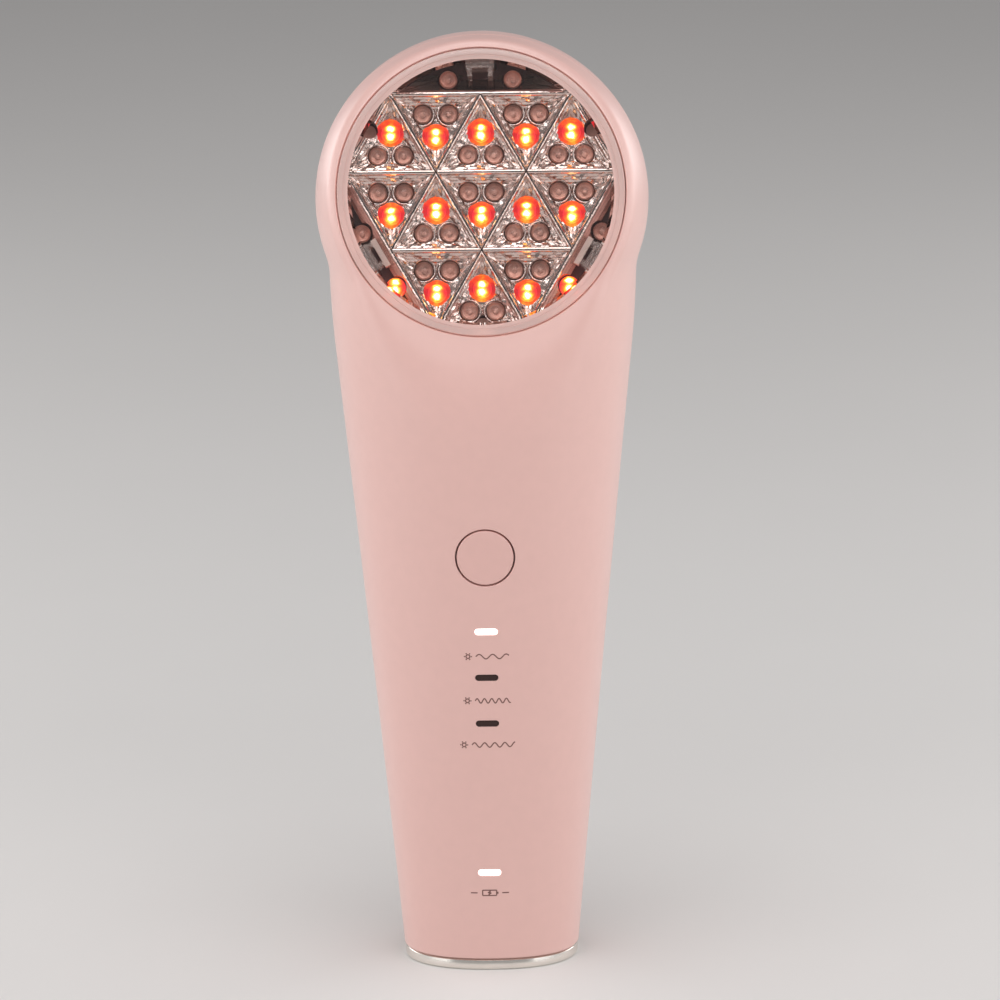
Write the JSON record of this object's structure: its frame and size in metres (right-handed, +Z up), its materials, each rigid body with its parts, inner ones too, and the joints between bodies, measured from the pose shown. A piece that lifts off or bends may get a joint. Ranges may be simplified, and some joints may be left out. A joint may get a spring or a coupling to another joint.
{
  "type": "LED light therapy wand",
  "caption": "Hand-held light therapy wand: ball head with a round clear lens over LED reflector cells, tapered pink handle, flush push button, indicator windows, chrome foot ring.",
  "frame": {"origin": "centre of the flat foot, on the surface that the wand stands on", "axes": "+Z up along the handle, -Y out of the front where the lens and button are, +X to the right seen from the front"},
  "size_m": [0.0592, 0.0521, 0.1681],
  "materials": {
    "housing_pink": "satin moulded plastic, blush pink",
    "button_pink": "satin moulded plastic, blush pink",
    "chrome": "bright plated",
    "foot_rubber": "matte",
    "steel": "zinc plated",
    "lens_clear": "clear polished plastic",
    "seal_rubber": "silicone",
    "reflector_chrome": "vacuum metallised plastic",
    "led_lit": "clear epoxy, lit",
    "led_clear": "clear epoxy, unlit",
    "led_board_dark": "dark solder mask",
    "white_plastic": "moulded",
    "board_green": "solder mask",
    "chip_black": "moulded package",
    "capacitor_tan": "ceramic",
    "indicator_led": "surface-mount lamp",
    "window_lit": "light pipe, lit white",
    "window_dark": "light pipe, dark brown tint",
    "black_plastic": "moulded",
    "cell_wrap": "shrink sleeve",
    "nickel": "nickel strip",
    "foam": "closed-cell foam",
    "wire": "insulated hook-up wire",
    "contact_brass": "plated contact"
  },
  "bodies": {
    "housing": {"front_shell": "housing_pink", "rear_shell": "housing_pink", "base_cap": "housing_pink", "screw_plugs": "housing_pink", "base_ring": "chrome", "base_pad": "foot_rubber", "shell_screws": "steel", "base_screws": "steel", "led_board_screws": "steel", "board_screws": "steel", "lens_cover": "lens_clear", "lens_seal": "seal_rubber", "button_membrane": "seal_rubber", "reflector": "reflector_chrome", "red_leds": "led_lit", "blue_leds": "led_clear", "green_leds": "led_clear", "led_board": "led_board_dark", "led_carrier": "white_plastic", "led_socket": "white_plastic", "harness_socket": "white_plastic", "battery_socket": "white_plastic", "main_board": "board_green", "protection_board": "board_green", "led_driver_chip": "chip_black", "led_resistors": "chip_black", "controller_chip": "chip_black", "charger_chip": "chip_black", "power_inductor": "chip_black", "board_capacitors": "capacitor_tan", "indicator_leds": "indicator_led", "light_pipe_1": "window_lit", "light_pipe_charge": "window_lit", "light_pipe_2": "window_dark", "light_pipe_3": "window_dark", "mode_light_shield": "black_plastic", "charge_light_shield": "black_plastic", "tact_switch": "black_plastic", "battery_tray": "black_plastic", "charge_jack": "black_plastic", "battery_cell": "cell_wrap", "cell_tabs": "nickel", "battery_pads": "foam", "led_harness": "wire", "battery_leads": "wire", "charge_leads": "wire", "jack_pin": "contact_brass"},
    "button": {"power_button": "button_pink", "switch_plunger": "white_plastic"}
  },
  "joints": [
    {"name": "button_press", "type": "slide", "parent": "housing", "child": "button", "axis": [0, 0.9963, 0.0857], "range_m": [0, 0.0005], "stiffness_N_per_m": 2500}
  ]
}
